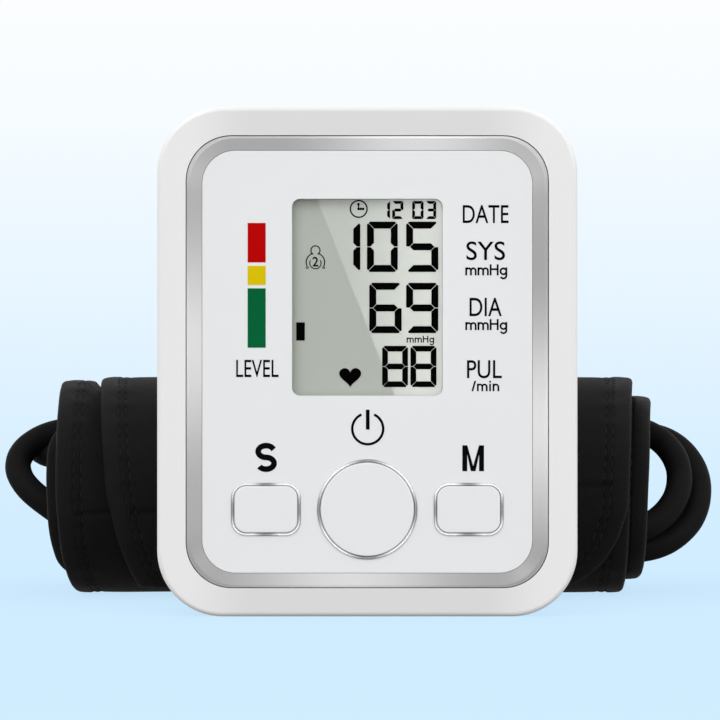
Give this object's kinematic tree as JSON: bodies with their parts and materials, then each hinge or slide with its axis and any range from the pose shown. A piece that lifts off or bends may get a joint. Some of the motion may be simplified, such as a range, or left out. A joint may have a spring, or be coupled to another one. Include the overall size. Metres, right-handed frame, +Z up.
{
  "type": "upper arm blood pressure monitor",
  "caption": "Upright white blood pressure monitor with display, round start button and side buttons, and a rolled black arm cuff with its air hose behind it.",
  "frame": {"origin": "centre of the monitor's lower standing face", "axes": "+X to the right seen from the front, +Y to the back, +Z up"},
  "size_m": [0.1827, 0.1307, 0.12],
  "materials": {
    "housing_white": "smooth satin white ABS",
    "panel_white": "smooth white front panel",
    "silver_ring": "vacuum metallised satin silver",
    "chrome_trim": "bright chrome plating",
    "clear_window": "clear acrylic",
    "lcd": "grey green liquid crystal cell",
    "black_plastic": "fine grained black plastic",
    "rubber_black": "matt black rubber",
    "rubber_grey": "matt grey rubber",
    "board_green": "solder mask on glass fibre laminate",
    "steel": "bright zinc plated steel",
    "cell_wrap": "printed film sleeve",
    "silicone": "translucent silicone",
    "lead_red": "red wire insulation",
    "nylon": "black nylon twill",
    "lining": "black brushed loop lining",
    "bladder": "thin polyurethane film",
    "hose": "smooth dark grey hose"
  },
  "bodies": {
    "monitor": {"front_housing": "housing_white", "rear_housing": "housing_white", "front_panel": "panel_white", "bezel_ring": "silver_ring", "display_window": "clear_window", "display_glass": "lcd", "display_holder": "black_plastic", "zebra_strip": "rubber_grey", "start_trim": "chrome_trim", "set_trim": "chrome_trim", "memory_trim": "chrome_trim", "switch_bodies": "black_plastic", "main_board": "board_green", "board_screws": "steel", "control_chip": "black_plastic", "pressure_sensor": "black_plastic", "buzzer": "black_plastic", "capacitors": "steel", "power_port": "steel", "housing_screws": "steel", "rear_feet": "rubber_grey", "battery_cells": "cell_wrap", "battery_springs": "steel", "battery_contacts": "steel", "pump_motor": "steel", "pump_head": "black_plastic", "pump_cradle": "rubber_black", "valve_body": "black_plastic", "air_manifold": "black_plastic", "air_socket": "black_plastic", "pump_tube": "silicone", "valve_tube": "silicone", "sensor_tube": "silicone", "socket_tube": "silicone", "motor_leads": "lead_red"},
    "start_key": {"start_button": "panel_white", "start_plunger": "black_plastic"},
    "set_key": {"set_button": "panel_white", "set_plunger": "black_plastic"},
    "memory_key": {"memory_button": "panel_white", "memory_plunger": "black_plastic"},
    "door": {"battery_door": "housing_white"},
    "rotor": {"pump_rotor": "steel"},
    "plunger": {"valve_plunger": "steel"},
    "cuff": {"cuff_shell": "nylon", "cuff_lining": "lining", "cuff_bladder": "bladder", "ring_hem": "nylon", "cuff_fitting": "black_plastic", "hose_lead": "hose", "hose_coil": "hose", "hose_tail": "hose", "air_plug": "black_plastic"},
    "ring": {"cuff_ring": "steel"}
  },
  "joints": [
    {"name": "start_press", "type": "slide", "parent": "monitor", "child": "start_key", "axis": [0, 1, 0], "range_m": [0, 0.0005], "stiffness_N_per_m": 300, "springref_m": -0.0005},
    {"name": "set_press", "type": "slide", "parent": "monitor", "child": "set_key", "axis": [0, 1, 0], "range_m": [0, 0.0005], "stiffness_N_per_m": 300, "springref_m": -0.0005},
    {"name": "memory_press", "type": "slide", "parent": "monitor", "child": "memory_key", "axis": [0, 1, 0], "range_m": [0, 0.0005], "stiffness_N_per_m": 300, "springref_m": -0.0005},
    {"name": "door_hinge", "type": "hinge", "parent": "monitor", "child": "door", "pos_m": [0, 0.0239, 0.05857], "axis": [-1, 0, 0], "range_deg": [0, 75]},
    {"name": "rotor_spin", "type": "hinge", "parent": "monitor", "child": "rotor", "pos_m": [0, 0.006, 0.015], "axis": [1, 0, 0], "continuous": true},
    {"name": "valve_slide", "type": "slide", "parent": "monitor", "child": "plunger", "axis": [-1, 0, 0], "range_m": [0, 0.0008], "stiffness_N_per_m": 200, "springref_m": -0.0006},
    {"name": "cuff_slide", "type": "slide", "parent": "monitor", "child": "cuff", "axis": [0, 1, 0], "range_m": [0, 0.12]},
    {"name": "ring_hinge", "type": "hinge", "parent": "cuff", "child": "ring", "pos_m": [0, 0.09185, 0.01215], "axis": [-1, 0, 0], "range_deg": [0, 45]}
  ]
}
